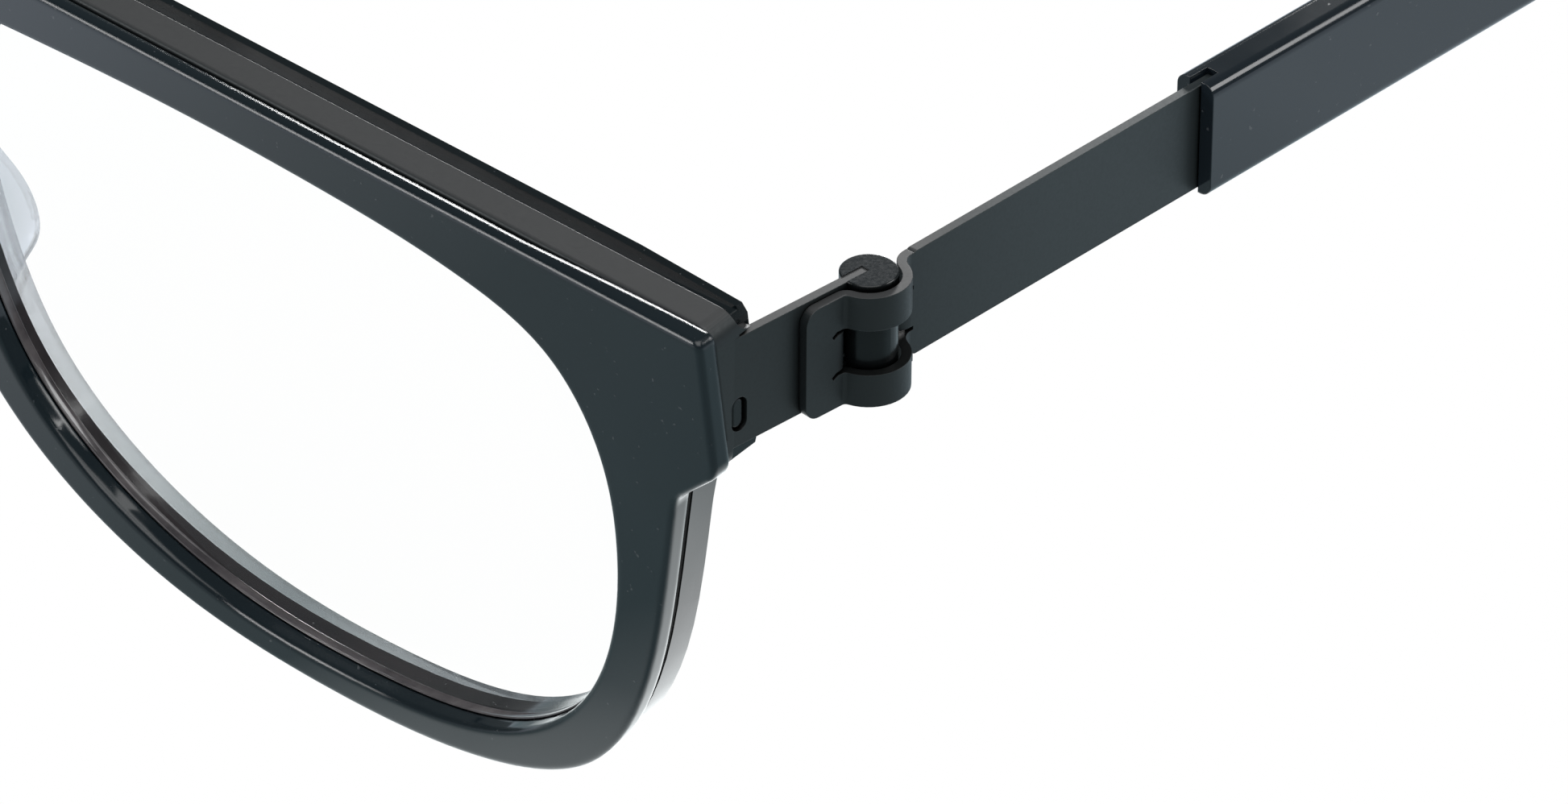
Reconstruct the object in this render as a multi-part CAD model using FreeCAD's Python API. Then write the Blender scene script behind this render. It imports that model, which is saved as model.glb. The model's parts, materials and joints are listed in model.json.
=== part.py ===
import FreeCAD, Part
import math
import os

# Eyeglasses with a layered front and screwless sheet-metal hinges.
#
# Row axes: +X to the wearer's left, +Y backwards (towards the ears), +Z up.  Origin: the top of
# the bridge arch, in the symmetry plane, half way through the depth of the rims.
#
# The model is drawn from the brow line, the straight front top edge of the front plate, as zero,
# and moved to the origin at the very end.  Two sets of coordinates are used on the way:
#   front sheet  (x, v, w): x across, v up along the tilted front, w the depth behind its face
#   brow space   (X, Y, Z): parallel to the row axes

os.makedirs("parts", exist_ok=True)
Vec = FreeCAD.Vector

# ---------------------------------------------------------------- driving dimensions (mm, deg)
FRONT_TILT = 7.8            # pantoscopic tilt: the bottom of the front leans towards the cheeks
HALF_WIDTH = 70.5           # middle of the front to its side edge
FRONT_T = 1.25              # front plate thickness
SHEET_T = 0.55              # the metal sheet of the core, the end pieces and the temples
BROW_DEPTH = 4.55           # face to back, along the brow
RIM_DEPTH = 3.6             # face to back, around the lower rims
BROW_RISE = 0.05            # the plates stand this far above the brow line
SHEET_INSET = 0.3           # the core sheet stays this far inside the front plate
REAR_INSET = 0.25           # and so does the rear plate
BROW_GAP = 0.4              # open joint between front plate and flange, tapering to the corners
BROW_GAP_DEEP = 1.0
GROOVE = 0.6                # depth of the lens groove
FACE_EDGE_R = 0.3           # rounded edges of the front plate
BACK_EDGE_R = 0.18
BRIDGE_ARCH = -9.4          # top of the bridge arch
FAR = 80.0                  # beyond the front on every side, for cutting shapes

FLANGE_DROP = 0.1           # brow flange below the brow line
FLANGE_END = 3.2            # depth of the flange's rear edge behind the face
CORNER_R = 1.2              # flange to end piece, outside radius
FOLD_R = 0.3                # fold radius along the flange and the end piece
GUSSET_R = 0.9              # hollow corner where the flange runs into the end piece's top edge

END_OUTER = 70.2            # outer face of the end piece where it leaves the front
END_SPLAY = 3.4             # outward splay of the end piece
END_TOP = -1.08             # top edge of the end piece
END_BOTTOM = -7.87          # bottom edge of the end piece
TRAY_BOTTOM = -8.0          # lower edge of the folded side walls, down the front
REBATE_GAP = 0.08           # rear plate to the inner face of the end piece

RIVET_HALF_WIDTH = 0.5      # oval rivet through the end piece into the rear plate
RIVET_HALF_HEIGHT = 1.0
RIVET_LENGTH = 4.0
RIVET_SUNK = 0.1            # its outer end below the sheet's face
RIVET_DOME_R = 0.25

HINGE_Y = 12.65             # hinge axis behind the brow line
BARREL_R = 1.6
BARREL_TOP = -1.03
BARREL_BOTTOM = -8.3
BAND_GAP = 0.16             # radial gap between the barrel and the bands wrapped around it
PLATE_GAP = 0.04            # gap between the clip plate and the end piece

CLIP_TOP = -1.33            # the part of the temple strip that wraps the barrel
CLIP_BOTTOM = -8.17
WINDOW_TOP = -3.5           # the middle band runs between these two heights
WINDOW_BOTTOM = -6.05
WINDOW_GAP = 0.05           # the end piece's window is this much taller on both sides
SLIT = 0.24                 # width of the slits that part the three bands
CLIP_FRONT = 5.05           # hinge axis to the front edge of the clip
SLIT_FRONT = 2.8            # hinge axis to the front ends of the slits
SLIT_REAR = 3.2             # hinge axis to the rear ends of the slits
REAR_BEND_R = 1.2           # bend of a band where it leaves the strip
FRONT_BEND_R = 0.55         # bend of an outer band into the clip plate
MIDDLE_BEND_R = 0.55        # bend of the middle band into the clip plate
MIDDLE_LEAVES = 245.0       # where the middle band leaves the barrel, round from +X

STRIP_TOP = -1.28
STRIP_BOTTOM = -7.78
SLEEVE_TOP = -0.95
SLEEVE_BOTTOM = -8.0
SLEEVE_START = 25.9         # hinge axis to the front of the acetate sleeve
SLEEVE_T = 2.6
SLEEVE_EDGE_R = 0.7
SLEEVE_LAP = 1.3            # the full-height strip reaches this far into the sleeve
STRAIGHT_LENGTH = 93.0      # hinge axis to the start of the ear bend
EAR_BEND_R = 36.0
EAR_BEND = 38.0             # degrees
TEMPLE_LENGTH = 145.0       # hinge axis to the tip, along the temple
TONGUE_HEIGHT = 4.6         # the strip inside the sleeve
TONGUE_SHORT = 12.0         # it ends this far before the straight end of the sleeve

LENS_T = 1.6
LENS_CURVE = 300.0          # radius of the lens surfaces
LENS_EDGE_T = 0.45          # edge held in the groove

PAD_T = 1.9                 # thickness of a nose pad
PAD_INNER = 6.5             # its nose side, at PAD_LEVEL
PAD_LEVEL = -26.0
PAD_LEAN = 8.0              # degrees
PAD_ROOT = 2.5              # depth at which the pad grows out of the rim

# Clear layer that carries the nose pad: it starts deep at the nose and thins along the rim.
CLEAR_TOP = -13.0
CLEAR_NOSE_DEPTH = 2.35
CLEAR_RIM_DEPTH = 3.15
CLEAR_NOSE_X = 8.0
CLEAR_RIM_X = 56.0

HINGE_X = END_OUTER + (HINGE_Y - 3.0) * math.tan(math.radians(END_SPLAY))
BAND_R = BARREL_R + BAND_GAP + SHEET_T / 2
PLATE_X = PLATE_GAP + SHEET_T / 2       # centre of the clip plate outside the end piece
REAR_LEAVE_Y = math.sqrt(BAND_R ** 2 + 2 * BAND_R * REAR_BEND_R)    # bands leave the strip here
REAR_ANGLE = math.degrees(math.atan2(REAR_LEAVE_Y, REAR_BEND_R))
EAR_STRAIGHT = TEMPLE_LENGTH - STRAIGHT_LENGTH - EAR_BEND_R * math.radians(EAR_BEND)


# ---------------------------------------------------------------- small helpers
def polar(radius, degrees, centre=(0.0, 0.0)):
    """Point at a radius and an angle around a centre."""
    angle = math.radians(degrees)
    return (centre[0] + radius * math.cos(angle), centre[1] + radius * math.sin(angle))


def flat(point, height=0.0):
    """A 2-D point as a vector."""
    return Vec(point[0], point[1], height)


def line(start, end):
    return Part.makeLine(flat(start), flat(end))


def arc(centre, radius, start_deg, end_deg):
    """Arc edge from one angle to another, either way round."""
    middle = (start_deg + end_deg) / 2
    points = [flat(polar(radius, angle, centre)) for angle in (start_deg, middle, end_deg)]
    return Part.Arc(*points).toShape()


def spline(points, start_tangent=None, end_tangent=None):
    """Smooth edge through points."""
    curve = Part.BSplineCurve()
    vectors = [flat(point) for point in points]
    if start_tangent:
        curve.interpolate(Points=vectors, InitialTangent=flat(start_tangent),
                          FinalTangent=flat(end_tangent))
    else:
        curve.interpolate(Points=vectors)
    return curve.toShape()


def closed_spline(points):
    """Smooth closed wire through points."""
    curve = Part.BSplineCurve()
    curve.interpolate(Points=[flat(point) for point in points], PeriodicFlag=True)
    return Part.Wire(curve.toShape())


def face_of(edges):
    return Part.Face(Part.Wire(Part.__sortEdges__(edges)))


def polygon(points):
    vectors = [flat(point) for point in points]
    return Part.Face(Part.makePolygon(vectors + vectors[:1]))


def prism(face, low, high):
    """Face in the local XY plane, extruded between two heights."""
    body = face.extrude(Vec(0, 0, high - low))
    body.translate(Vec(0, 0, low))
    return body


def layer(face, near, far):
    """Front-sheet outline extruded from one depth behind the face to another."""
    return prism(face, -far, -near)


def box(low, high):
    size = [high[i] - low[i] for i in range(3)]
    return Part.makeBox(size[0], size[1], size[2], Vec(*low))


def one(shape):
    """The merged shape as a single clean solid."""
    solids = shape.removeSplitter().Solids
    return max(solids, key=lambda solid: solid.Volume)


def mirrored(shape):
    return shape.mirror(Vec(0, 0, 0), Vec(1, 0, 0))


def standing(shape):
    """Turn a front-sheet shape up into brow space, with the front's tilt."""
    turned = shape.copy()
    turned.Placement = FreeCAD.Placement(Vec(0, 0, 0),
                                         FreeCAD.Rotation(Vec(1, 0, 0), 90 + FRONT_TILT))
    return turned


def side_view(face, low, high):
    """Outline drawn in (Y, Z), extruded along X between two values."""
    body = prism(face, low, high)
    matrix = FreeCAD.Matrix(0, 0, 1, 0, 1, 0, 0, 0, 0, 1, 0, 0, 0, 0, 0, 1)
    return body.transformed(matrix)


def edges_at_depth(shape, depth, pick=lambda edge: True):
    """Edges of a front-sheet shape that lie flat at one depth."""
    found = []
    for edge in shape.Edges:
        bounds = edge.BoundBox
        if abs(bounds.ZMin + depth) < 1e-4 and abs(bounds.ZMax + depth) < 1e-4 and pick(edge):
            found.append(edge)
    return found


# ---------------------------------------------------------------- outlines of the front
def beside(edge, distance, steps):
    """Points a constant distance to the left of an edge, from its start to its end."""
    first, last = edge.ParameterRange
    points = []
    for step in range(steps + 1):
        parameter = first + (last - first) * step / steps
        point = edge.valueAt(parameter)
        tangent = edge.tangentAt(parameter)
        points.append((point.x - tangent.y * distance, point.y + tangent.x * distance))
    return points


def rim_curve(neck_end, neck_tangent):
    """Free curve of the lower rim: from the neck under the lens, up the nose to the bridge arch."""
    return spline([neck_end, (65.0, -20.9), (62.7, -28.0), (57.0, -36.4), (49.0, -40.25),
                   (36.1, -41.8), (23.3, -40.45), (13.6, -35.3), (8.9, -28.6), (7.8, -21.5),
                   (7.9, -15.5), (5.6, -11.0), (0.0, BRIDGE_ARCH)], neck_tangent, (-1, 0))


def front_outline(inset=0.0):
    """Outer outline of the front as a face in (x, v), optionally drawn inside itself."""
    corner_r = 0.5
    lobe_r = 1.6            # rounded lower corner of the lobe at the end of the brow
    slope = 47.0            # the lobe's lower edge runs down and inwards at this angle
    slope_length = 3.2
    neck_r = 2.2            # hollow between the lobe and the rim
    neck_turn = 33.0
    side = HALF_WIDTH
    lobe_centre = (side - lobe_r, -8.3)
    lobe_end = polar(lobe_r, -slope, lobe_centre)
    slope_heading = 270 - slope
    neck_start = polar(slope_length, slope_heading, lobe_end)
    neck_centre = polar(neck_r, -slope, neck_start)
    neck_from = 180 - slope
    neck_to = neck_from + neck_turn
    neck_end = polar(neck_r, neck_to, neck_centre)
    neck_tangent = polar(1, neck_to + 90)
    rim = rim_curve(neck_end, neck_tangent)
    if inset:
        rim = spline(beside(rim, -inset, 40), neck_tangent, (-1, 0))
    inner = lobe_r - inset
    top = BROW_RISE - inset
    inner_corner = corner_r - inset
    half = [
        line((0, top), (side - corner_r, top)),
        arc((side - corner_r, top - inner_corner), inner_corner, 90, 0),
        line((side - inset, top - inner_corner), (side - inset, lobe_centre[1])),
        arc(lobe_centre, inner, 0, -slope),
        line(polar(inner, -slope, lobe_centre), polar(neck_r + inset, neck_from, neck_centre)),
        arc(neck_centre, neck_r + inset, neck_from, neck_to),
        rim,
    ]
    return face_of(half + [mirrored(edge) for edge in half])


def opening_outline(growth=0.0):
    """Lens opening on the wearer's left as a face in (x, v), optionally grown all round."""
    shape = [(17.2, -3.6), (30.0, -3.1), (42.4, -3.3), (52.5, -4.3), (58.5, -6.6), (61.4, -11.4),
             (61.95, -17.8), (60.45, -25.6), (56.75, -32.4), (50.8, -37.1), (38.8, -39.8),
             (23.6, -38.2), (13.4, -30.8), (10.2, -21.0), (11.4, -9.0)]
    wire = closed_spline(shape)
    if growth:
        wire = closed_spline(beside(wire.Edges[0], growth, 48)[:-1])
    return Part.Face(wire)


FRONT = front_outline()
OPENING = opening_outline()


def with_openings(outline, growth=0.0):
    """An outline with both lens openings cut, each grown by some distance."""
    hole = opening_outline(growth)
    return outline.cut(hole).cut(mirrored(hole))


# ---------------------------------------------------------------- the layers of the front
def make_front_plate():
    """Glossy face of the front, with rounded edges."""
    plate = one(layer(with_openings(FRONT), 0, FRONT_T))
    plate = plate.makeFillet(FACE_EDGE_R, edges_at_depth(plate, 0))
    plate = plate.makeFillet(BACK_EDGE_R, edges_at_depth(plate, FRONT_T))
    full = 57.0                 # the open joint has its full width up to here
    ends = HALF_WIDTH - 2       # and closes here
    bottom = -FRONT_T + BROW_GAP
    joint = polygon([(-ends, -FRONT_T), (-full, bottom), (full, bottom), (ends, -FRONT_T),
                     (ends, -FRONT_T - 1), (-ends, -FRONT_T - 1)])
    joint = prism(joint, -1, BROW_GAP_DEEP)
    # the outline is drawn in (x, -w) and runs along -v
    joint.rotate(Vec(0, 0, 0), Vec(1, 0, 0), 90)
    return one(plate.cut(joint))


def tray_outline(inset):
    """Upper band of the tray that the flange and the end pieces fold from."""
    reach = END_OUTER - inset
    top = -FLANGE_DROP - inset
    radius = CORNER_R - inset
    half = [
        line((0, top), (reach - radius, top)),
        arc((reach - radius, top - radius), radius, 90, 0),
        line((reach, top - radius), (reach, TRAY_BOTTOM)),
        line((reach, TRAY_BOTTOM), (0, TRAY_BOTTOM)),
    ]
    return face_of(half + [mirrored(edge) for edge in half])


def make_tray():
    """Brow flange and side walls, folded back from a narrow floor behind the brow."""
    inside = FRONT_T + SHEET_T
    lip = 2 * SHEET_T           # height of floor left standing free of the hollow
    hollow_low = TRAY_BOTTOM + lip
    hollow_half = HALF_WIDTH - 3
    tray = layer(tray_outline(0), FRONT_T, FLANGE_END)
    tray = tray.cut(layer(tray_outline(SHEET_T), inside, FLANGE_END + 1))
    bottom_wall = polygon([(-hollow_half, hollow_low), (hollow_half, hollow_low),
                           (hollow_half, TRAY_BOTTOM - 1), (-hollow_half, TRAY_BOTTOM - 1)])
    tray = one(tray.cut(layer(bottom_wall, inside, FLANGE_END + 1)))
    fold = edges_at_depth(tray, FRONT_T, lambda edge: edge.BoundBox.YMax > TRAY_BOTTOM + 0.01)
    return tray.makeFillet(FOLD_R, fold)


def make_gusset():
    """Rounded corner of the sheet between the flange's rear edge and the end piece."""
    shell = tray_outline(0).cut(tray_outline(SHEET_T))
    low = END_TOP - 0.3
    corner = polygon([(END_OUTER - CORNER_R, low), (END_OUTER + 1, low), (END_OUTER + 1, 1),
                      (END_OUTER - CORNER_R, 1)])
    gusset = layer(shell.common(corner), FLANGE_END - 0.2, FLANGE_END + GUSSET_R)
    hollow = Part.makeCylinder(GUSSET_R, 2 * CORNER_R + 1,
                               Vec(END_OUTER - CORNER_R - 1, low + GUSSET_R,
                                   -FLANGE_END - GUSSET_R), Vec(1, 0, 0))
    above = layer(polygon([(0, low + GUSSET_R), (FAR, low + GUSSET_R), (FAR, 1), (0, 1)]),
                  FLANGE_END, FLANGE_END + 2 * GUSSET_R)
    return gusset.cut(hollow).cut(above)


def make_core_sheet():
    """Metal sheet between the plates, with its brow flange and both end pieces."""
    inside = FRONT_T + SHEET_T
    seam = TRAY_BOTTOM + 0.6       # the rims' outline takes over from the tray here
    below = polygon([(-FAR, seam), (FAR, seam), (FAR, -FAR), (-FAR, -FAR)])
    rims = layer(front_outline(SHEET_INSET).common(below), FRONT_T, inside)
    hole = layer(opening_outline(GROOVE), 0, 2 * inside)
    gusset = make_gusset()
    sheet = make_tray().fuse(rims).fuse(gusset).fuse(mirrored(gusset))
    sheet = standing(one(sheet.cut(hole).cut(mirrored(hole))))
    end_piece = make_end_piece()
    sheet = sheet.fuse(end_piece).fuse(mirrored(end_piece))
    rivet_hole = oval_pin(RIVET_HALF_WIDTH + 0.05, RIVET_HALF_HEIGHT + 0.05, END_OUTER - 2,
                          END_OUTER + 2)
    return one(sheet.cut(rivet_hole).cut(mirrored(rivet_hole)))


def hinge_turned(shape, degrees):
    """Turn a shape about the left hinge axis."""
    turned = shape.copy()
    turned.rotate(Vec(HINGE_X, HINGE_Y, 0), Vec(0, 0, 1), degrees)
    return turned


def make_end_piece():
    """Sheet that runs back from the front to the hinge, with a window for the middle band."""
    front_y = 2.4
    window_front = HINGE_Y - 3.2
    outline = polygon([(front_y, END_TOP), (HINGE_Y, END_TOP), (HINGE_Y, END_BOTTOM),
                       (front_y, END_BOTTOM)])
    sheet = side_view(outline, HINGE_X - SHEET_T, HINGE_X)
    window = box((HINGE_X - 2, window_front, WINDOW_BOTTOM - WINDOW_GAP),
                 (HINGE_X + 2, HINGE_Y + 1, WINDOW_TOP + WINDOW_GAP))
    corners = [edge for edge in window.Edges
               if abs(edge.BoundBox.YMax - window_front) < 1e-6 and edge.BoundBox.XLength > 1]
    sheet = sheet.cut(window.makeFillet(0.4, corners))
    return hinge_turned(sheet, -END_SPLAY)


def rear_depth_cut():
    """Space behind the rims: the brow is deep and the lower rims are thin."""
    top = -7.6                  # the back of the brow starts to slope forward here
    low = -15.5                 # and reaches the rims' depth here
    deep = BROW_DEPTH + 0.01
    back = BROW_DEPTH + 3
    ramp = spline([(deep, top), (BROW_DEPTH - 0.55, -9.6), (RIM_DEPTH + 0.15, -12.5),
                   (RIM_DEPTH, low)], (0, -1), (0, -1))
    outline = face_of([ramp, line((RIM_DEPTH, low), (RIM_DEPTH, -FAR)),
                       line((RIM_DEPTH, -FAR), (back, -FAR)), line((back, -FAR), (back, top)),
                       line((back, top), (deep, top))])
    cutter = outline.extrude(Vec(0, 0, 2 * FAR))
    cutter.translate(Vec(0, 0, -FAR))
    # the outline is drawn in (w, v): turn it so that w runs down the local Z axis
    cutter.rotate(Vec(0, 0, 0), Vec(0, 1, 0), 90)
    return cutter


def rear_layer():
    """Everything behind the core sheet, before it is parted into smoke and clear."""
    start = FRONT_T + SHEET_T
    body = layer(with_openings(front_outline(REAR_INSET)), start, BROW_DEPTH)
    return one(body.cut(rear_depth_cut()))


def clear_wedge():
    """Half space behind the slanted seam between smoke and clear acetate."""
    slope = (CLEAR_RIM_DEPTH - CLEAR_NOSE_DEPTH) / (CLEAR_RIM_X - CLEAR_NOSE_X)
    behind = -2 * BROW_DEPTH
    outline = polygon([(0, -CLEAR_NOSE_DEPTH + slope * CLEAR_NOSE_X),
                       (CLEAR_RIM_X, -CLEAR_RIM_DEPTH), (CLEAR_RIM_X, behind), (0, behind)])
    wedge = prism(outline, -CLEAR_TOP, FAR)
    # the outline is drawn in (x, -w) and runs along -v
    wedge.rotate(Vec(0, 0, 0), Vec(1, 0, 0), 90)
    return wedge


def make_pad_lobe():
    """Wing of the nose pad, seen from the side as a drop that hangs behind the rim."""
    wing = [(PAD_ROOT, -14.0), (4.4, -16.6), (6.2, -20.8), (7.5, -25.0), (7.0, -27.6), (5.4, -28.6),
            (3.9, -30.2), (PAD_ROOT, -31.5)]
    lobe = face_of([spline(wing), line(wing[-1], wing[0])]).extrude(Vec(0, 0, PAD_T))
    rounded = [edge for edge in lobe.Edges
               if edge.BoundBox.ZLength < 1e-6 and edge.BoundBox.XMax > PAD_ROOT + 1]
    lobe = lobe.makeFillet(0.7, rounded)
    lobe.rotate(Vec(0, 0, 0), Vec(0, 1, 0), 90)
    lobe.translate(Vec(PAD_INNER, 0, 0))
    lobe.rotate(Vec(PAD_INNER, PAD_LEVEL, 0), Vec(0, 0, 1), PAD_LEAN)
    return lobe


def split_rear():
    """The smoke rear plate and one clear pad piece."""
    whole = rear_layer()
    wedge = clear_wedge()
    clear = whole.common(wedge)
    smoke = whole.cut(wedge).cut(mirrored(wedge))
    return smoke, clear


def make_rear_plate(smoke):
    """Smoke acetate behind the core sheet, rebated for the flange and the end pieces."""
    above = 5.0                 # clear of the brow line
    behind = BROW_DEPTH + 1
    inner_face = END_OUTER - SHEET_T
    rebate_top = -FLANGE_DROP - SHEET_T
    rebate = layer(polygon([(-FAR, rebate_top), (FAR, rebate_top), (FAR, above), (-FAR, above)]),
                   0, FLANGE_END + REBATE_GAP)
    beside_end = layer(polygon([(inner_face - REBATE_GAP, above), (FAR, above), (FAR, -12),
                                (inner_face - REBATE_GAP, -12)]), 0, behind)
    flange_corner = layer(tray_outline(0).cut(tray_outline(SHEET_T)), 0, FLANGE_END + GUSSET_R)
    droop_start = 62.0          # the top edge falls away a little from here to its ends
    top = BROW_RISE - REAR_INSET
    end_top = top - 0.33
    end_x = inner_face - REBATE_GAP
    top_slope = layer(polygon([(droop_start, above), (droop_start, top), (end_x - 0.35, end_top),
                               (end_x, end_top - 0.5), (FAR, end_top - 0.5), (FAR, above)]),
                      FLANGE_END, behind)
    plate = smoke.cut(rebate)
    for cutter in (beside_end, flange_corner, top_slope):
        plate = plate.cut(cutter).cut(mirrored(cutter))
    plate = standing(one(plate))
    rivet = oval_pin(RIVET_HALF_WIDTH, RIVET_HALF_HEIGHT, END_OUTER - RIVET_LENGTH - RIVET_SUNK,
                     END_OUTER)
    return one(plate.cut(rivet).cut(mirrored(rivet)))


def make_nose_pad(clear):
    """Clear layer of the lower rim with the nose pad grown on it."""
    lobe = make_pad_lobe()
    in_front = layer(FRONT, -1, CLEAR_NOSE_DEPTH + 0.5)
    return standing(one(clear.fuse(lobe.cut(in_front))))


def make_lens():
    """Clear lens with its edge held in the groove."""
    edge_near = FRONT_T + (SHEET_T - LENS_EDGE_T) / 2
    edge = layer(opening_outline(GROOVE - 0.1), edge_near, edge_near + LENS_EDGE_T)
    centre = OPENING.BoundBox.Center
    vertex = 0.35
    pane = layer(opening_outline(-0.05), 0, BROW_DEPTH)
    sideways = Vec(1, 0, 0)     # keeps the poles of the spheres away from the lens
    front_ball = Part.makeSphere(LENS_CURVE, Vec(centre.x, centre.y, -vertex - LENS_CURVE), sideways)
    back_ball = Part.makeSphere(LENS_CURVE, Vec(centre.x, centre.y, -vertex - LENS_T - LENS_CURVE),
                                sideways)
    pane = pane.common(front_ball).cut(back_ball)
    return standing(one(pane.fuse(edge)))


# ---------------------------------------------------------------- rivets and hinge barrels
def oval_pin(half_width, half_height, low_x, high_x):
    """Upright oval prism along X, where the end piece is riveted to the rear plate."""
    centre = (3.35, -5.9)       # (Y, Z)
    flank = half_height - half_width
    top = (centre[0], centre[1] + flank)
    bottom = (centre[0], centre[1] - flank)
    outline = face_of([arc(top, half_width, 0, 180), arc(bottom, half_width, 180, 360),
                       line((centre[0] - half_width, top[1]), (centre[0] - half_width, bottom[1])),
                       line((centre[0] + half_width, top[1]), (centre[0] + half_width, bottom[1]))])
    return side_view(outline, low_x, high_x)


def make_rivet():
    """Oval rivet that fills the hole and stays a little below the sheet's face."""
    face_x = END_OUTER - RIVET_SUNK
    pin = oval_pin(RIVET_HALF_WIDTH, RIVET_HALF_HEIGHT, face_x - RIVET_LENGTH, face_x)
    outer = [edge for edge in pin.Edges if abs(edge.BoundBox.XMin - face_x) < 1e-4]
    return pin.makeFillet(RIVET_DOME_R, outer)


def make_barrel():
    """Slotted round bar that the end piece is pushed into and the temple turns on."""
    height = BARREL_TOP - BARREL_BOTTOM
    bar = Part.makeCylinder(BARREL_R, height, Vec(HINGE_X, HINGE_Y, BARREL_BOTTOM))
    rims = [edge for edge in bar.Edges if edge.Curve.TypeId == "Part::GeomCircle"]
    bar = bar.makeChamfer(0.06, rims)
    slot = box((HINGE_X - SHEET_T, HINGE_Y - 2 * BARREL_R, BARREL_BOTTOM - 1),
               (HINGE_X, HINGE_Y, BARREL_TOP + 1))
    solid_middle = box((HINGE_X - 2, HINGE_Y - 2, WINDOW_BOTTOM - WINDOW_GAP),
                       (HINGE_X + 2, HINGE_Y + 2, WINDOW_TOP + WINDOW_GAP))
    slot = hinge_turned(slot.cut(solid_middle), -END_SPLAY)
    return one(bar.cut(slot))


# ---------------------------------------------------------------- temples
class Ribbon:
    """Strip of constant thickness drawn by walking along its centre line."""

    def __init__(self, start, heading, thickness):
        self.point = start
        self.heading = heading
        self.half = thickness / 2
        self.left = []
        self.right = []
        self.start = self.sides()

    def sides(self):
        return (polar(self.half, self.heading + 90, self.point),
                polar(self.half, self.heading - 90, self.point))

    def straight(self, length):
        before = self.sides()
        self.point = polar(length, self.heading, self.point)
        after = self.sides()
        self.left.append(line(before[0], after[0]))
        self.right.append(line(before[1], after[1]))

    def turn(self, radius, degrees):
        """Turn left for positive degrees and right for negative ones."""
        side = 1 if degrees > 0 else -1
        centre = polar(radius, self.heading + 90 * side, self.point)
        start_angle = self.heading - 90 * side
        self.left.append(arc(centre, radius - side * self.half, start_angle, start_angle + degrees))
        self.right.append(arc(centre, radius + side * self.half, start_angle, start_angle + degrees))
        self.heading += degrees
        self.point = polar(radius, self.heading - 90 * side, centre)

    def face(self):
        end = self.sides()
        caps = [line(*self.start), line(*end)]
        return face_of(self.left + self.right + caps)


def outer_band():
    """Path of the upper and lower bands, round the outside of the barrel."""
    centre_x = PLATE_X + FRONT_BEND_R
    centre_y = -math.sqrt((BAND_R + FRONT_BEND_R) ** 2 - centre_x ** 2)
    front_angle = math.degrees(math.atan2(centre_y, centre_x))
    band = Ribbon((0, SLIT_REAR), -90, SHEET_T)
    band.straight(SLIT_REAR - REAR_LEAVE_Y)
    band.turn(REAR_BEND_R, REAR_ANGLE)
    band.turn(BAND_R, front_angle - END_SPLAY - REAR_ANGLE)
    band.turn(FRONT_BEND_R, -front_angle)
    band.straight(SLIT_FRONT + centre_y)
    return band.face()


def middle_band():
    """Path of the middle band, round the inside of the barrel and out through the window."""
    out_turn = 270 - MIDDLE_LEAVES
    leave = polar(BAND_R, MIDDLE_LEAVES)
    heading = math.radians(MIDDLE_LEAVES + 90)
    run = (PLATE_X - leave[0]) / math.cos(heading)
    trim = MIDDLE_BEND_R * math.tan(math.radians(90 - out_turn) / 2)
    plate_y = leave[1] + run * math.sin(heading) - trim
    band = Ribbon((0, SLIT_REAR), -90, SHEET_T)
    band.straight(SLIT_REAR - REAR_LEAVE_Y)
    band.turn(REAR_BEND_R, -REAR_ANGLE)
    band.turn(BAND_R, MIDDLE_LEAVES - END_SPLAY - (180 - REAR_ANGLE))
    band.straight(run - trim)
    band.turn(MIDDLE_BEND_R, -(90 - out_turn))
    band.straight(SLIT_FRONT + plate_y)
    return band.face()


def clip_plate():
    """Rounded plate that lies on the end piece and stops the open temple."""
    plate = box((PLATE_X - SHEET_T / 2, -CLIP_FRONT, CLIP_BOTTOM),
                (PLATE_X + SHEET_T / 2, -SLIT_FRONT, CLIP_TOP))
    corners = [edge for edge in plate.Edges
               if edge.BoundBox.XLength > 0.1 and abs(edge.BoundBox.YMax + CLIP_FRONT) < 1e-6]
    plate = plate.makeFillet(0.9, corners)
    for height in (WINDOW_TOP, WINDOW_BOTTOM):
        slit_end = box((PLATE_X - 1, -SLIT_FRONT - 0.38, height - SLIT / 2),
                       (PLATE_X + 1, -SLIT_FRONT + 0.2, height + SLIT / 2))
        slit_end.rotate(Vec(PLATE_X, -SLIT_FRONT, height), Vec(1, 0, 0), 32)
        plate = plate.cut(slit_end)
    plate.rotate(Vec(0, 0, 0), Vec(0, 0, 1), -END_SPLAY)
    return plate


def temple_centre(thickness):
    """Temple drawn in (Y, Z) as a ribbon from the hinge to the tip, about its own centre line."""
    return Ribbon((0, (SLEEVE_TOP + SLEEVE_BOTTOM) / 2), 0, thickness)


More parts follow.
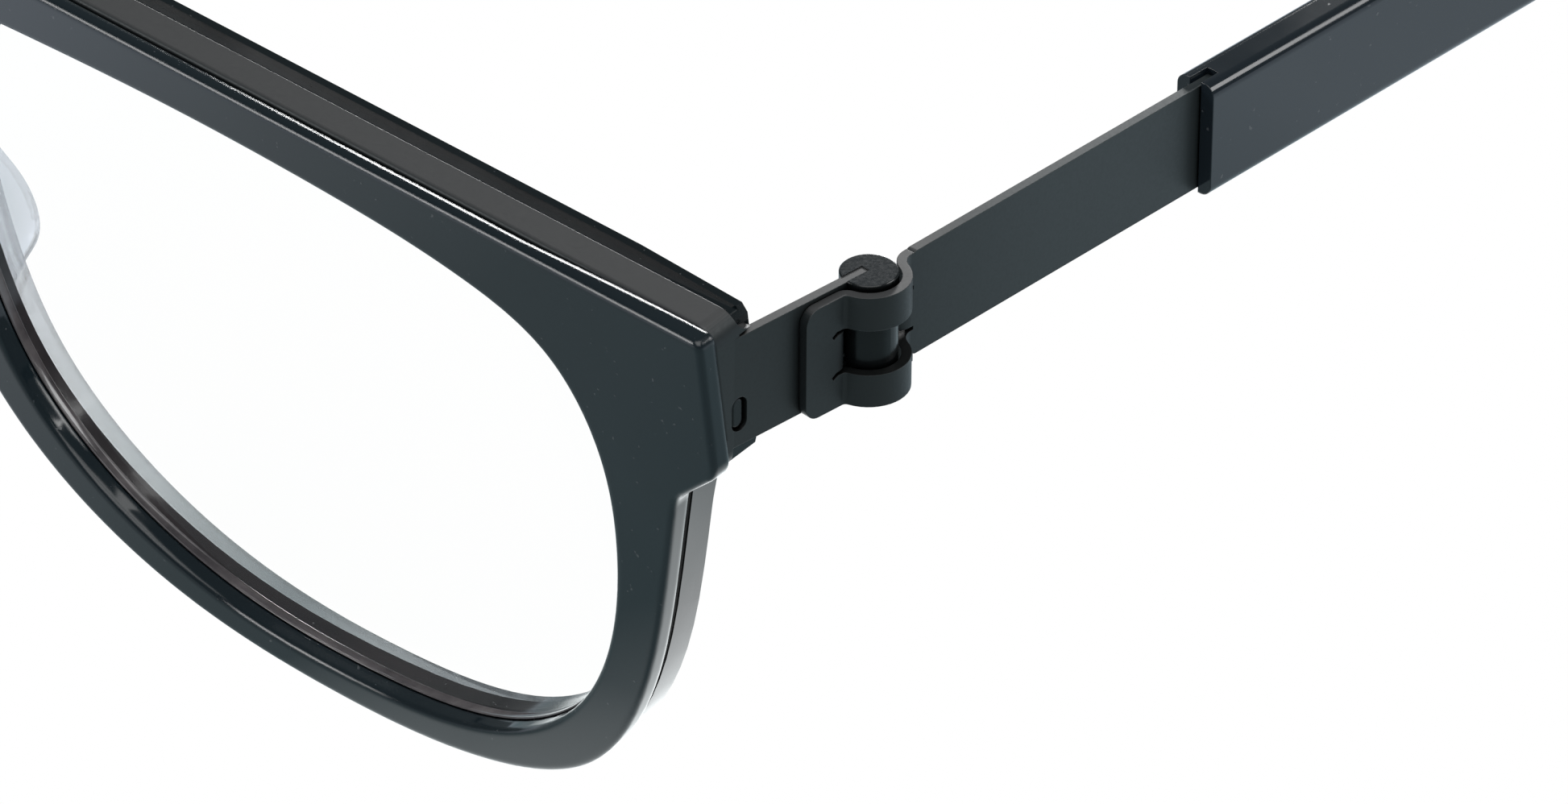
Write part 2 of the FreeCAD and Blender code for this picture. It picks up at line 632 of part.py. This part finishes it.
def make_temple_strip():
    """Strip of sheet with the clip at the front and a tongue inside the sleeve."""
    bands = [prism(outer_band(), WINDOW_TOP + SLIT / 2, CLIP_TOP),
             prism(middle_band(), WINDOW_BOTTOM + SLIT / 2, WINDOW_TOP - SLIT / 2),
             prism(outer_band(), CLIP_BOTTOM, WINDOW_BOTTOM - SLIT / 2)]
    strip = box((-SHEET_T / 2, REAR_LEAVE_Y, STRIP_BOTTOM),
                (SHEET_T / 2, SLEEVE_START + SLEEVE_LAP, STRIP_TOP))
    corners = [edge for edge in strip.Edges
               if edge.BoundBox.XLength > 0.1 and abs(edge.BoundBox.YMax - REAR_LEAVE_Y) < 1e-6]
    strip = strip.makeFillet(0.45, corners)
    for height in (WINDOW_TOP, WINDOW_BOTTOM):
        strip = strip.cut(box((-1, REAR_LEAVE_Y - 1, height - SLIT / 2),
                              (1, SLIT_REAR, height + SLIT / 2)))
    tongue = temple_centre(TONGUE_HEIGHT)
    tongue.straight(STRAIGHT_LENGTH)
    tongue.turn(EAR_BEND_R, -EAR_BEND)
    tongue.straight(EAR_STRAIGHT - TONGUE_SHORT)
    tongue = side_view(tongue.face(), -SHEET_T / 2, SHEET_T / 2)
    tongue = tongue.cut(box((-5, -5, -20), (5, SLEEVE_START, 20)))
    parts = bands + [clip_plate(), strip, tongue]
    whole = parts[0].multiFuse(parts[1:])
    return one(whole)


def make_temple_sleeve(strip):
    """Acetate sleeve: straight, then bent down behind the ear, with a rounded tip."""
    height = SLEEVE_TOP - SLEEVE_BOTTOM
    body = temple_centre(height)
    body.straight(STRAIGHT_LENGTH)
    body.turn(EAR_BEND_R, -EAR_BEND)
    body.straight(EAR_STRAIGHT - height / 2)
    tip = Part.makeCylinder(height / 2, SLEEVE_T, Vec(-SLEEVE_T / 2, body.point[0], body.point[1]),
                            Vec(1, 0, 0))
    sleeve = side_view(body.face(), -SLEEVE_T / 2, SLEEVE_T / 2)
    sleeve = sleeve.cut(box((-5, -5, -20), (5, SLEEVE_START, 20)))
    sleeve = one(sleeve.fuse(tip))
    long_edges = [edge for edge in sleeve.Edges
                  if edge.BoundBox.XLength < 1e-4 and edge.BoundBox.YMax > SLEEVE_START + 1]
    sleeve = sleeve.makeFillet(SLEEVE_EDGE_R, long_edges)
    slot_half = SHEET_T / 2 + 0.12
    notch = box((-slot_half, SLEEVE_START - 1, -20),
                (slot_half, SLEEVE_START + SLEEVE_LAP + 0.1, 20))
    return one(sleeve.cut(notch).cut(strip))


# ---------------------------------------------------------------- export
def at_hinge(shape):
    moved = shape.copy()
    moved.translate(Vec(HINGE_X, HINGE_Y, 0))
    return moved


def origin_point():
    """The top of the bridge arch, half way through the rims' depth, in brow space."""
    middle = RIM_DEPTH / 2
    tilt = math.radians(FRONT_TILT)
    return Vec(0, -BRIDGE_ARCH * math.sin(tilt) + middle * math.cos(tilt),
               BRIDGE_ARCH * math.cos(tilt) + middle * math.sin(tilt))


def export(name, shape):
    moved = shape.copy()
    moved.translate(-origin_point())
    moved.exportStep(os.path.join("parts", name + ".step"))


def export_pair(name, shape):
    """A piece on the wearer's left and its mirror image on the right."""
    export(name + "_left", shape)
    export(name + "_right", mirrored(shape))


def main():
    smoke, clear = split_rear()
    export("front_plate", standing(make_front_plate()))
    export("core_sheet", make_core_sheet())
    export("rear_plate", make_rear_plate(smoke))
    export_pair("nose_pad", make_nose_pad(clear))
    export_pair("lens", make_lens())
    export_pair("end_rivet", make_rivet())
    export_pair("hinge_barrel", make_barrel())
    strip = make_temple_strip()
    export_pair("temple_strip", at_hinge(strip))
    export_pair("temple_sleeve", at_hinge(make_temple_sleeve(strip)))


main()
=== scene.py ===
import json
import math

import bmesh
import bpy
from mathutils import Matrix, Vector
from mathutils.geometry import convex_hull_2d


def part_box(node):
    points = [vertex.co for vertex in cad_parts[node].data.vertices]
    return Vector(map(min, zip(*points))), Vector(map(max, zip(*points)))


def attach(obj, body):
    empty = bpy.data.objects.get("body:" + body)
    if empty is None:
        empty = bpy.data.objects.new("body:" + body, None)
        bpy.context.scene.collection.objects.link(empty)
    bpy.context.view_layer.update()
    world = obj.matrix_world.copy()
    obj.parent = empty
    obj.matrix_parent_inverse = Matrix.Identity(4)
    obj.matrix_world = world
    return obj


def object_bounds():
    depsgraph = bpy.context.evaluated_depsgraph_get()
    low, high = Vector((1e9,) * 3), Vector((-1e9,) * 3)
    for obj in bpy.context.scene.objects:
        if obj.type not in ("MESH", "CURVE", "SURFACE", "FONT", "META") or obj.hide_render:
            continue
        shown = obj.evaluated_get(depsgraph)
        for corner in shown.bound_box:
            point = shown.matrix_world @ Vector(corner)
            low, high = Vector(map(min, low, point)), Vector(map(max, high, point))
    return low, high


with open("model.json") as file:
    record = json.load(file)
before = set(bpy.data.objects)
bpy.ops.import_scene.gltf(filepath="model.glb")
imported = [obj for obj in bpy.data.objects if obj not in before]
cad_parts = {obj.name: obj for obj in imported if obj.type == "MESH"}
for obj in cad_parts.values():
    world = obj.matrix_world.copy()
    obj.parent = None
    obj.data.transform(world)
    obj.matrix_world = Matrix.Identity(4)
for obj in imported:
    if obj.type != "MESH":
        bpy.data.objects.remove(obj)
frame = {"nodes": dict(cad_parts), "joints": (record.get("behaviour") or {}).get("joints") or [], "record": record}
cad_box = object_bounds()

MM = 0.001

# ---------------------------------------------------------------- camera (degrees and mm)
CAMERA_AZIMUTH = 43.09      # round from straight in front, towards the wearer's left
CAMERA_ELEVATION = 33.84
CAMERA_ROLL = 0.38
CAMERA_DISTANCE = 542.4
CAMERA_LENS = 240.8
SENSOR_WIDTH = 36.0
CORNER_LEFT = 4.38          # the front's upper corner lies this far left of the image centre
CORNER_ABOVE = 2.98         # and this far above it

# ---------------------------------------------------------------- lens edges (degrees and mm)
FRONT_TILT = 7.8            # the bottom of the front leans back
HINGE_BEHIND = 12.65        # the hinges lie this far behind the middle of the brow
HINGE_BELOW = 4.7           # and this far below it
SEAT_FRONT = 1.2            # a lens edge shows between these depths behind the face
SEAT_REAR = 1.85
SEAT_STEP = 1.5             # between two points round the opening
SEAT_SUNK = 0.06            # its sides are buried this deep in the wall of the opening
BEAD = 0.14                 # width of the bead on either side
LENS_LAP = 0.5              # the lens reaches this far into the groove

# ---------------------------------------------------------------- painted light and shade on the metal sheet (mm)
END_PIECE_Y = 9             # painted shade: darkest as far back as the end pieces
HINGE_Y = 12                # painted light: paler from just behind the hinges
TEMPLE_Y = 24               # and palest along the temples
BROW_END_Y = 17             # the painted light on the flange's upper face has faded out here
SLIT_Z = (4.0, 5.5)         # faces that look up below this level are inside the slits and painted in shade
SEAM_Z = (-0.5, 0.5)        # below this level the sheet is only a seam between the rims, painted in shade

# ---------------------------------------------------------------- colours
DUST = (0.35, 0.36, 0.37)
# painted shade: the near black inside the slits
SLIT_SHADE = (0.004, 0.005, 0.005)
# painted shade: the near black of narrow gaps and of the seam between the rims
CREVICE_SHADE = (0.002, 0.002, 0.002)
WORLD_GREY = (0.13, 0.145, 0.15)

# Bright spots of the table that glossy faces mirror:
# x, y, full up to this radius, gone at this radius (mm), strength
TABLE_SPOTS = (
    (52, 19, 4, 26, 2.1),
    (80, 17, 3, 22, 1.15),
    (54, -5, 2, 10, 0.35),
)
TABLE_HALF = 3000           # half of the table's side (mm)
TABLE_BELOW = 0.2           # gap under the object (mm)

# ---------------------------------------------------------------- the front's own axes
hinge = Vector(frame["joints"][0]["pos_m"])
tilt = math.radians(FRONT_TILT)
BROW_MIDDLE = Vector((0, hinge.y - HINGE_BEHIND * MM, hinge.z + HINGE_BELOW * MM))
FRONT_UP = Vector((0, -math.sin(tilt), math.cos(tilt)))
FRONT_BACK = Vector((0, math.cos(tilt), math.sin(tilt)))


# ---------------------------------------------------------------- node helpers
class Shader:
    """Short way of writing a node material."""

    # A Mix node's colour sockets share their names with its number sockets, so they go by index.
    MIX_FIRST = 6
    MIX_SECOND = 7
    MIX_RESULT = 2

    def __init__(self, name):
        self.material = bpy.data.materials.new(name)
        self.material.use_nodes = True
        self.tree = self.material.node_tree
        self.tree.nodes.clear()
        self.output = self.add("ShaderNodeOutputMaterial")
        self.place = self.add("ShaderNodeTexCoord").outputs["Object"]

    def add(self, kind, **settings):
        """Add a node and set its properties."""
        node = self.tree.nodes.new(kind)
        for key, value in settings.items():
            setattr(node, key, value)
        return node

    def put(self, socket, value):
        """Set a socket to a constant, or link another node's output to it."""
        if isinstance(value, bpy.types.NodeSocket):
            self.tree.links.new(value, socket)
            return
        if socket.type == "RGBA":
            value = (*value, 1.0)
        socket.default_value = value

    def fill(self, node, **inputs):
        """Set a node's inputs; spaces in their names are written as underscores."""
        for key, value in inputs.items():
            self.put(node.inputs[key.replace("_", " ")], value)
        return node

    def finish(self, surface):
        """Use this surface as the material's look."""
        self.put(self.output.inputs["Surface"], surface)
        return self.material

    # Numbers and places

    def math(self, operation, first, second=0.0):
        node = self.add("ShaderNodeMath", operation=operation)
        self.put(node.inputs[0], first)
        self.put(node.inputs[1], second)
        return node.outputs["Value"]

    def times(self, first, second):
        return self.math("MULTIPLY", first, second)

    def span(self, value, low, high):
        """Where a value lies between two limits, as 0 to 1."""
        node = self.fill(self.add("ShaderNodeMapRange"), Value=value, From_Min=low, From_Max=high)
        return node.outputs["Result"]

    def part(self, vector, axis):
        """One of the X, Y and Z parts of a vector."""
        return self.fill(self.add("ShaderNodeSeparateXYZ"), Vector=vector).outputs[axis]

    def position(self, axis, low, high):
        """Where a point lies along an axis between two distances (mm), as 0 to 1."""
        return self.span(self.part(self.place, axis), low * MM, high * MM)

    def noise(self, scale, detail=2.0, roughness=0.5, stretch=(1, 1, 1)):
        """Noise between 0 and 1; scale is in features per metre."""
        mapping = self.fill(self.add("ShaderNodeMapping"), Vector=self.place, Scale=stretch)
        node = self.fill(self.add("ShaderNodeTexNoise"), Vector=mapping.outputs["Vector"],
                         Scale=scale, Detail=detail, Roughness=roughness)
        return node.outputs["Fac"]

    # Colours

    def ramp(self, value, stops):
        """Map a value through (position, grey or colour) stops."""
        node = self.fill(self.add("ShaderNodeValToRGB"), Fac=value)
        elements = node.color_ramp.elements
        while len(elements) < len(stops):
            elements.new(0.5)
        for element, (position, colour) in zip(elements, stops):
            element.position = position
            if isinstance(colour, (int, float)):
                colour = (colour, colour, colour)
            element.color = (*colour, 1.0)
        return node.outputs["Color"]

    def gradient(self, axis, stops):
        """Colour along an axis, from (distance in mm, colour) stops."""
        low = stops[0][0]
        high = stops[-1][0]
        along = self.position(axis, low, high)
        return self.ramp(along, [((place - low) / (high - low), colour)
                                 for place, colour in stops])

    def mix(self, factor, first, second, blend_type="MIX"):
        """Mix two colours."""
        node = self.add("ShaderNodeMix", data_type="RGBA", blend_type=blend_type)
        self.fill(node, Factor=factor)
        self.put(node.inputs[self.MIX_FIRST], first)
        self.put(node.inputs[self.MIX_SECOND], second)
        return node.outputs[self.MIX_RESULT]

    # Shapes

    def geometry(self, output):
        return self.add("ShaderNodeNewGeometry").outputs[output]

    def soft_normal(self, radius):
        """Normal with every sharp edge rounded to a small radius."""
        node = self.fill(self.add("ShaderNodeBevel", samples=10), Radius=radius)
        return node.outputs["Normal"]

    def edge_mask(self, radius):
        """1 along sharp edges and 0 on flat faces."""
        dot = self.add("ShaderNodeVectorMath", operation="DOT_PRODUCT")
        self.put(dot.inputs[0], self.geometry("Normal"))
        self.put(dot.inputs[1], self.soft_normal(radius))
        away = self.math("SUBTRACT", 1.0, dot.outputs["Value"])
        return self.ramp(away, [(0.02, 0.0), (0.3, 1.0)])

    def crevice(self, distance):
        """0 deep in a narrow gap and 1 out in the open."""
        node = self.fill(self.add("ShaderNodeAmbientOcclusion", samples=6), Distance=distance)
        return self.ramp(node.outputs["AO"], [(0.3, 0.0), (0.75, 1.0)])

    def upward(self):
        """1 on surfaces that face up and 0 on all others."""
        return self.span(self.part(self.geometry("True Normal"), "Z"), 0.75, 0.95)

    def bump(self, height, strength, distance, normal=None):
        """Normal disturbed by a height."""
        node = self.fill(self.add("ShaderNodeBump"), Height=height, Strength=strength,
                         Distance=distance)
        if normal is not None:
            self.fill(node, Normal=normal)
        return node.outputs["Normal"]

    # Surfaces

    def principled(self, **inputs):
        return self.fill(self.add("ShaderNodeBsdfPrincipled"), **inputs).outputs["BSDF"]

    def transparent(self, colour):
        return self.fill(self.add("ShaderNodeBsdfTransparent"), Color=colour).outputs["BSDF"]

    def glossy(self, colour, roughness):
        node = self.fill(self.add("ShaderNodeBsdfGlossy"), Color=colour, Roughness=roughness)
        return node.outputs["BSDF"]

    def emission(self, colour):
        return self.fill(self.add("ShaderNodeEmission"), Color=colour).outputs["Emission"]

    def blend(self, factor, first, second):
        """Mix two surfaces."""
        node = self.fill(self.add("ShaderNodeMixShader"), Fac=factor)
        self.put(node.inputs[1], first)
        self.put(node.inputs[2], second)
        return node.outputs["Shader"]


# ---------------------------------------------------------------- materials
def shade(colour, factor):
    """Darker or paler version of a colour."""
    return tuple(channel * factor for channel in colour)


def dark_acetate(name, colour, deep, roughness, thin=None, edge=None):
    """Polished dark acetate: cloudy depth, faint polish waves and a few specks of dust.

    thin is a paler colour painted in streaks low on the rims, as painted light that comes through the thin acetate
    there, and edge is the radius (mm) to which sharp edges are polished."""
    shader = Shader(name)
    base = shader.mix(shader.noise(90, 3), deep, colour)
    # Painted light: low on the rims the acetate is painted paler in streaks, standing for light that comes through
    # it.
    if thin:
        streaks = shader.ramp(shader.noise(300, 3, 0.6, (0.3, 1.0, 1.0)), [(0.35, 0.55), (0.7, 1.0)])
        base = shader.mix(shader.times(shader.position("Z", -4, -16), streaks), base, thin)
    specks = shader.ramp(shader.noise(2600, 1), [(0.74, 0.0), (0.79, 1.0)])
    base = shader.mix(shader.times(specks, 0.12), base, DUST)
    polish = shader.ramp(shader.noise(160, 3), [(0.3, roughness * 0.7), (0.75, roughness * 1.5)])
    rough = shader.math("ADD", polish, shader.times(specks, 0.15))
    rounded = shader.soft_normal(edge * MM) if edge else None
    waves = shader.bump(shader.noise(110, 1), 0.05, 0.02 * MM, rounded)
    return shader.finish(shader.principled(Base_Color=base, Roughness=rough, IOR=1.49,
                                           Normal=waves))


def coated_sheet(name, colour, lit_top, roughness):
    """Matt gunmetal coating: fine grain and paler edges, with painted light and shade: darker towards the end
    pieces, paler along the temples, paler on faces that look up near the brow, and near black, dim slits, gaps and
    seam.
    """
    shader = Shader(name)
    base = shader.mix(shader.noise(140, 4), shade(colour, 0.86), shade(colour, 1.14))
    # Painted shade and light: the sheet is darker towards the end pieces and paler along the temples.
    base = shader.mix(shader.position("Y", END_PIECE_Y, TEMPLE_Y), shade(colour, 0.75), base)
    base = shader.mix(shader.position("Y", HINGE_Y, TEMPLE_Y), base, shade(colour, 1.3))
    # Sharp edges are painted paler.
    edge_paling = shader.times(shader.edge_mask(0.07 * MM), 0.45)
    base = shader.mix(edge_paling, base, shade(colour, 2.2))

    # Painted light: faces that look up near the brow take a paler tone, as if lit from above.
    upward = shader.upward()
    lit_brow_top = shader.times(upward, shader.position("Y", BROW_END_Y, HINGE_Y))
    base = shader.mix(lit_brow_top, base, lit_top)
    # Painted shade: faces that look up inside the slits are painted near black.
    low, high = SLIT_Z
    shaded_slits = shader.times(upward, shader.position("Z", high, low))
    base = shader.mix(shaded_slits, base, SLIT_SHADE)
    # Painted shade: deep in narrow gaps, and along the seam between the rims, the sheet is painted near black and
    # reflects only dimly.
    out_of_shade = shader.times(shader.crevice(0.5 * MM), shader.position("Z", *SEAM_Z))
    base = shader.mix(out_of_shade, CREVICE_SHADE, base)

    grain = shader.noise(5000, 2, 0.6)
    rough = shader.ramp(grain, [(0.25, roughness - 0.05), (0.8, roughness + 0.06)])
    normal = shader.bump(grain, 0.08, 0.01 * MM, shader.soft_normal(0.06 * MM))
    return shader.finish(shader.principled(Base_Color=base, Metallic=0.35, Roughness=rough,
                                           Normal=normal,
                                           Specular_IOR_Level=shader.times(out_of_shade, 0.5)))


def clear_acetate(name):
    """Crystal acetate: milky near the nose; outwards its see-through colour is painted darker, as painted shade
    where it lies behind the rims.
    """
    shader = Shader(name)
    haze = shader.noise(120, 3)
    base = shader.mix(haze, (0.78, 0.77, 0.77), (0.92, 0.91, 0.91))
    rough = shader.ramp(shader.noise(300, 2), [(0.3, 0.05), (0.8, 0.15)])
    waves = shader.bump(shader.noise(260, 2), 0.1, 0.02 * MM)
    body = shader.principled(Base_Color=base, Roughness=rough, IOR=1.25, Transmission_Weight=0.9,
                             Normal=waves)
    # Painted shade: the see-through colour darkens outwards, where the clear strip lies behind the dark rims.
    from_middle = shader.math("ABSOLUTE", shader.part(shader.place, "X"))
    outwards = shader.span(from_middle, 18 * MM, 44 * MM)
    through = shader.transparent(shader.mix(outwards, (0.90, 0.90, 0.90), (0.16, 0.18, 0.20)))
    cloudiness = shader.ramp(haze, [(0.3, 0.5), (0.8, 0.65)])
    return shader.finish(shader.blend(cloudiness, through, body))


def lens_glass(name):
    """Clear lens: lets everything through and adds only a faint reflection."""
    shader = Shader(name)
    smears = shader.ramp(shader.noise(120, 2), [(0.3, 0.01), (0.8, 0.05)])
    through = shader.transparent((0.998, 1.0, 0.999))
    glow = shader.glossy((0.92, 1.0, 0.97), smears)
    fresnel = shader.fill(shader.add("ShaderNodeFresnel"), IOR=1.1)
    outside = shader.math("SUBTRACT", 1.0, shader.geometry("Backfacing"))
    return shader.finish(shader.blend(shader.times(fresnel.outputs["Fac"], outside), through, glow))


def lens_edge(name):
    """Ground and polished lens edge: brown grey, with paler streaks that are painted reflections of light caught
    in the edge.
    """
    shader = Shader(name)
    # Painted reflections: the paler streaks stand for light reflected and refracted in the lens edge.
    base = shader.ramp(shader.noise(260, 4, 0.65), [(0.35, (0.038, 0.033, 0.036)),
                                                    (0.6, (0.085, 0.075, 0.078)),
                                                    (0.8, (0.16, 0.15, 0.15))])
    rough = shader.ramp(shader.noise(500, 2), [(0.3, 0.10), (0.8, 0.25)])
    waves = shader.bump(shader.noise(700, 2), 0.08, 0.02 * MM)
    return shader.finish(shader.principled(Base_Color=base, Roughness=rough, IOR=1.6,
                                           Normal=waves))


def paint_nodes():
    """Give every CAD node its material."""
    looks = {
        "front_acetate": dark_acetate("front_acetate", colour=(0.009, 0.015, 0.019),
                                      deep=(0.004, 0.008, 0.011), roughness=0.06, edge=0.4),
        "smoke_acetate": dark_acetate("smoke_acetate", colour=(0.006, 0.010, 0.012),
                                      deep=(0.002, 0.004, 0.005), roughness=0.12,
                                      thin=(0.030, 0.024, 0.026)),
        "sleeve_acetate": dark_acetate("sleeve_acetate", colour=(0.010, 0.015, 0.020),
                                       deep=(0.006, 0.010, 0.014), roughness=0.12, edge=0.1),
        "clear_acetate": clear_acetate("clear_acetate"),
        "lens": lens_glass("lens"),
        "sheet_metal": coated_sheet("sheet_metal", colour=(0.020, 0.026, 0.028),
                                    lit_top=(0.060, 0.061, 0.062), roughness=0.46),
        "hinge_metal": coated_sheet("hinge_metal", colour=(0.007, 0.009, 0.010),
                                    lit_top=(0.016, 0.020, 0.023), roughness=0.22),
        "rivet_metal": coated_sheet("rivet_metal", colour=(0.008, 0.010, 0.011),
                                    lit_top=(0.010, 0.012, 0.012), roughness=0.2),
    }
    for part in frame["record"]["subparts"]:
        node = frame["nodes"][part["node"]]
        node.data.materials.clear()
        node.data.materials.append(looks[part["material_slot"]])


# ---------------------------------------------------------------- lens edges
def lens_outline(lens):
    """Evenly spaced points (x, height from the brow, negative downwards) round a lens."""
    points = []
    for vertex in lens.data.vertices:
        place = lens.matrix_world @ vertex.co
        points.append(Vector((place.x, (place - BROW_MIDDLE).dot(FRONT_UP))))
    corners = [points[index] for index in convex_hull_2d(points)]
    outline = []
    carried = 0.0
    for index, corner in enumerate(corners):
        side = corners[(index + 1) % len(corners)] - corner
        while carried < side.length:
            outline.append(corner + side * (carried / side.length))
            carried += SEAT_STEP * MM
        carried -= side.length
    return outline


def seat_profile():
    """Section of a lens edge: (depth behind the face, height above the opening's wall) in mm."""
    return [(SEAT_FRONT, -SEAT_SUNK), (SEAT_FRONT, 0.05), (SEAT_FRONT + BEAD / 2, 0.10),
            (SEAT_FRONT + BEAD, 0.05), (SEAT_REAR - BEAD, 0.03), (SEAT_REAR - BEAD / 2, 0.08),
            (SEAT_REAR, 0.04), (SEAT_REAR, -SEAT_SUNK)]


def make_seat(name, lens, material):
    """Polished lens edge seen round the opening: a shallow band with a bead on either side."""
    path = lens_outline(lens)
    seat = bmesh.new()
    rings = []
    for index, point in enumerate(path):
        along = path[(index + 1) % len(path)] - path[index - 1]
        inward = Vector((-along.y, along.x)).normalized()
        ring = []
        for depth, height in seat_profile():
            spot = point + inward * (LENS_LAP + height) * MM
            ring.append(seat.verts.new(BROW_MIDDLE + Vector((spot.x, 0, 0)) + FRONT_UP * spot.y
                                       + FRONT_BACK * depth * MM))
        rings.append(ring)
    for index, ring in enumerate(rings):
        follower = rings[(index + 1) % len(rings)]
        for step in range(len(ring)):
            after = (step + 1) % len(ring)
            seat.faces.new((ring[step], follower[step], follower[after], ring[after]))
    bmesh.ops.recalc_face_normals(seat, faces=seat.faces)
    mesh = bpy.data.meshes.new(name)
    seat.to_mesh(mesh)
    seat.free()
    mesh.polygons.foreach_set("use_smooth", [True] * len(mesh.polygons))
    mesh.materials.append(material)
    piece = bpy.data.objects.new(name, mesh)
    bpy.context.scene.collection.objects.link(piece)
    smooth = piece.modifiers.new("smooth", "SUBSURF")
    smooth.levels = 1
    smooth.render_levels = 2
    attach(piece, "front")


def make_seats():
    material = lens_edge("lens_edge")
    for side in ("left", "right"):
        make_seat("lens_edge_" + side, frame["nodes"]["lens_" + side], material)


# ---------------------------------------------------------------- studio
def add_spot(shader, glow, x, y, inner, outer, peak):
    """Add a round bright spot to the table's glow, fading between two radii."""
    reach = shader.add("ShaderNodeVectorMath", operation="DISTANCE")
    shader.put(reach.inputs[0], shader.place)
    shader.put(reach.inputs[1], (x * MM, y * MM, cad_box[0].z))
    spot = shader.ramp(shader.span(reach.outputs["Value"], inner * MM, outer * MM),
                       [(0.0, peak), (0.45, peak * 0.52), (1.0, 0.0)])
    return shader.mix(1.0, glow, spot, blend_type="ADD")


def table_material():
    """White table: it glows evenly, but glossy surfaces see it fade from one side to the other."""
    shader = Shader("table")
    under_front = shader.gradient("X", [(-28, (1.0, 1.1, 1.25)), (0, (0.6, 0.66, 0.7)),
                                        (22, (0.34, 0.41, 0.43)), (45, (0.26, 0.35, 0.37))])
    under_temples = shader.gradient("Y", [(40, (0.34, 0.46, 0.50)), (67.2, (0.55, 0.68, 0.74)),
                                          (88, (0.80, 0.93, 1.03)), (160, (0.70, 0.8, 0.9))])
    glow = shader.mix(shader.position("Y", 20, 38), under_front, under_temples)
    for spot in TABLE_SPOTS:
        glow = add_spot(shader, glow, *spot)
    is_mirrored = shader.add("ShaderNodeLightPath").outputs["Is Glossy Ray"]
    return shader.finish(shader.blend(is_mirrored, shader.emission((1, 1, 1)),
                                      shader.emission(glow)))


def make_table():
    """Large flat table just under the object."""
    mesh = bpy.data.meshes.new("table")
    low = cad_box[0].z - TABLE_BELOW * MM
    sheet = bmesh.new()
    bmesh.ops.create_grid(sheet, x_segments=8, y_segments=8, size=TABLE_HALF * MM,
                          matrix=Matrix.Translation((0, 0, low)))
    sheet.to_mesh(mesh)
    sheet.free()
    mesh.materials.append(table_material())
    table = bpy.data.objects.new("table", mesh)
    bpy.context.scene.collection.objects.link(table)


def soft_light(name, direction, target, distance, size, power):
    """Square soft light (metres and watts) that faces the target from a direction."""
    data = bpy.data.lights.new(name, "AREA")
    data.shape = "SQUARE"
    data.size = size
    data.energy = power
    light = bpy.data.objects.new(name, data)
    bpy.context.scene.collection.objects.link(light)
    way = Vector(direction).normalized()
    light.location = target + way * distance
    light.rotation_mode = "QUATERNION"
    light.rotation_quaternion = way.to_track_quat("Z", "Y")


def make_lights():
    low, high = cad_box
    left_lens = Vector((high.x * 0.6, 0, (low.z + high.z) / 2))
    left_corner = Vector((high.x * 0.85, low.y, high.z))
    soft_light("overhead", (0.25, -0.2, 1.0), left_lens, distance=0.9, size=0.9, power=6.0)
    soft_light("rear_side", (0.557, 0.607, 0.567), left_lens, distance=0.9, size=0.35, power=2.5)
    soft_light("front_side", (-0.567, -0.70, 0.434), left_lens, distance=0.8, size=0.25, power=2.0)
    soft_light("brow_glint", (-0.567, 0.782, 0.256), left_corner, distance=0.9, size=0.14, power=2.6)


def make_world():
    world = bpy.data.worlds.new("studio")
    world.use_nodes = True
    background = world.node_tree.nodes["Background"]
    background.inputs["Color"].default_value = (*WORLD_GREY, 1)
    background.inputs["Strength"].default_value = 1.0
    bpy.context.scene.world = world


def make_camera():
    """Camera above the wearer's left, looking down on the corner of the front."""
    low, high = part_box("front_plate")
    corner = Vector((high.x, low.y, high.z))
    azimuth = math.radians(CAMERA_AZIMUTH)
    elevation = math.radians(CAMERA_ELEVATION)
    towards = Vector((math.sin(azimuth) * math.cos(elevation),
                      -math.cos(azimuth) * math.cos(elevation), math.sin(elevation)))
    level = Vector((math.cos(azimuth), math.sin(azimuth), 0))
    roll = math.radians(CAMERA_ROLL)
    right = level * math.cos(roll) + towards.cross(level) * math.sin(roll)
    up = towards.cross(right)
    place = corner + (right * CORNER_LEFT - up * CORNER_ABOVE + towards * CAMERA_DISTANCE) * MM
    camera = bpy.data.objects.new("camera", bpy.data.cameras.new("camera"))
    bpy.context.scene.collection.objects.link(camera)
    turn = Matrix((right, up, towards)).transposed().to_4x4()
    camera.matrix_world = Matrix.Translation(place) @ turn
    camera.data.lens = CAMERA_LENS
    camera.data.sensor_width = SENSOR_WIDTH
    camera.data.clip_start = 0.01
    camera.data.clip_end = 20.0
    bpy.context.scene.camera = camera


paint_nodes()
make_seats()
make_table()
make_lights()
make_world()
make_camera()
bpy.context.scene.view_settings.view_transform = "Standard"
